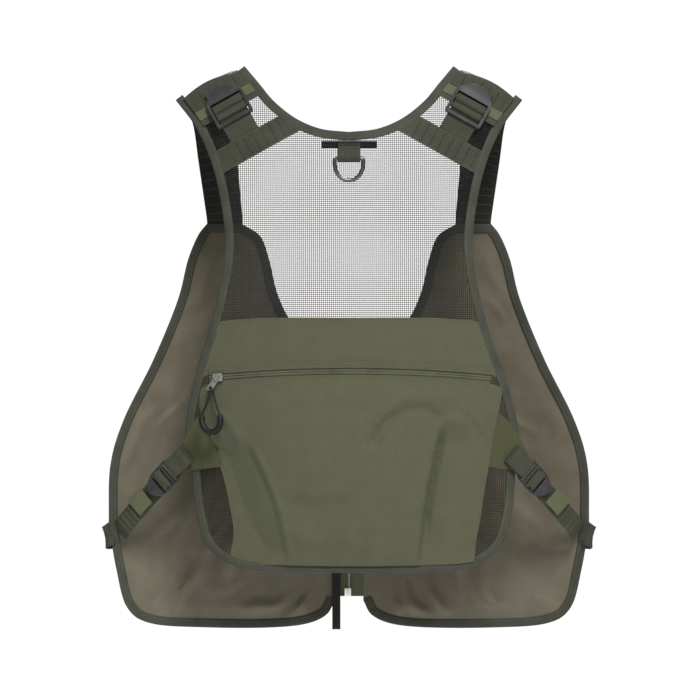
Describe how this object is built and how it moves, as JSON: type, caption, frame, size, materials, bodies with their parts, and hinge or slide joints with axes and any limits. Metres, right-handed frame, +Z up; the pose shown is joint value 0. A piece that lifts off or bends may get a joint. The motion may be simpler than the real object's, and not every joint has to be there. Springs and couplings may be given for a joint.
{
  "type": "fishing vest",
  "caption": "Open-sided fishing vest with a mesh back, a zipped back pocket, adjustable shoulders and side straps, and two zipped fronts.",
  "frame": {"origin": "centre back neck point, on the top edge of the neck binding, where the vest hangs", "axes": "+Z up as worn, -Y out of the back panel, +X towards the wearer's right hand"},
  "size_m": [0.5892, 0.212, 0.684],
  "materials": {
    "mesh": "open square polyester mesh",
    "binding": "matt folded binding tape with olive stitching",
    "webbing": "ribbed polypropylene webbing",
    "softshell": "matt olive softshell",
    "lining_satin": "satin lining",
    "coil_zip": "woven tape with a nylon coil",
    "black_plastic": "moulded acetal, fine grain",
    "white_plastic": "moulded white",
    "moulded_grip": "cord and soft moulded grip",
    "bright_nickel": "bright nickel plate",
    "gunmetal": "grey gunmetal plate"
  },
  "bodies": {
    "back": {"back_mesh": "mesh", "neck_binding": "binding", "back_binding": "binding", "back_yoke_cloth": "softshell", "back_pocket": "softshell", "back_zip": "coil_zip", "neck_tab": "webbing", "hang_loop": "webbing", "shoulder_pad_left": "lining_satin", "yoke_band_upper_left": "webbing", "yoke_band_lower_left": "webbing", "shoulder_lock_left": "black_plastic", "lock_webbing_left": "webbing", "shoulder_webbing_left": "webbing", "wing_left": "softshell", "wing_webbing_left": "webbing", "side_lock_left": "black_plastic", "side_strap_left": "webbing", "strap_end_left": "webbing", "shoulder_pad_right": "lining_satin", "yoke_band_upper_right": "webbing", "yoke_band_lower_right": "webbing", "shoulder_lock_right": "black_plastic", "lock_webbing_right": "webbing", "shoulder_webbing_right": "webbing", "wing_right": "softshell", "wing_webbing_right": "webbing", "side_lock_right": "black_plastic", "side_strap_right": "webbing", "strap_end_right": "webbing"},
    "back_slider": {"back_zip_slider": "bright_nickel"},
    "back_puller": {"back_zip_puller": "bright_nickel", "back_zip_pull": "moulded_grip"},
    "neck_ring": {"neck_ring": "gunmetal"},
    "front_slider": {"front_zip_slider": "bright_nickel"},
    "front_puller": {"front_zip_puller": "bright_nickel"},
    "front_left": {"front_strap_left": "lining_satin", "strap_anchor_left": "webbing", "front_lining_left": "lining_satin", "front_shell_left": "softshell", "front_binding_left": "binding", "front_zip_left": "coil_zip", "cargo_pocket_left": "softshell", "cargo_zip_left": "coil_zip", "chest_pocket_left": "softshell", "front_zip_box": "white_plastic", "hem_loop": "webbing"},
    "flap_left": {"chest_flap_left": "softshell"},
    "front_right": {"front_strap_right": "lining_satin", "strap_anchor_right": "webbing", "front_lining_right": "lining_satin", "front_shell_right": "softshell", "front_binding_right": "binding", "front_zip_right": "coil_zip", "cargo_pocket_right": "softshell", "cargo_zip_right": "coil_zip", "chest_pocket_right": "softshell", "front_zip_pin": "white_plastic"},
    "flap_right": {"chest_flap_right": "softshell"}
  },
  "joints": [
    {"name": "back_slider_travel", "type": "hinge", "parent": "back", "child": "back_slider", "pos_m": [0, 0.3544, -0.40374], "axis": [0, 0.2588, 0.9659], "range_deg": [0, 39]},
    {"name": "back_puller_lift", "type": "hinge", "parent": "back_slider", "child": "back_puller", "pos_m": [-0.15761, -0.06616, -0.29305], "axis": [-0.8143, 0.2854, 0.5054], "range_deg": [0, 90]},
    {"name": "neck_ring_swing", "type": "hinge", "parent": "back", "child": "neck_ring", "pos_m": [0, -0.09047, -0.03223], "axis": [-1, 0, 0], "range_deg": [0, 100]},
    {"name": "front_slider_travel", "type": "slide", "parent": "front_right", "child": "front_slider", "axis": [0, 0, -1], "range_m": [0, 0.25]},
    {"name": "front_puller_lift", "type": "hinge", "parent": "front_slider", "child": "front_puller", "pos_m": [0.0046, 0.0904, -0.289], "axis": [1, 0, 0], "range_deg": [0, 100]},
    {"name": "front_left_open", "type": "hinge", "parent": "back", "child": "front_left", "pos_m": [-0.187, 0.062, -0.066], "axis": [0.2504, 0.1366, 0.9584], "range_deg": [0, 60]},
    {"name": "flap_left_lift", "type": "hinge", "parent": "front_left", "child": "flap_left", "pos_m": [-0.145, 0.07005, -0.18], "axis": [0.9629, 0.27, 0], "range_deg": [0, 100]},
    {"name": "front_right_open", "type": "hinge", "parent": "back", "child": "front_right", "pos_m": [0.187, 0.062, -0.066], "axis": [0.2504, -0.1366, -0.9584], "range_deg": [0, 60]},
    {"name": "flap_right_lift", "type": "hinge", "parent": "front_right", "child": "flap_right", "pos_m": [0.145, 0.07005, -0.18], "axis": [0.9629, -0.27, 0], "range_deg": [0, 100]}
  ]
}
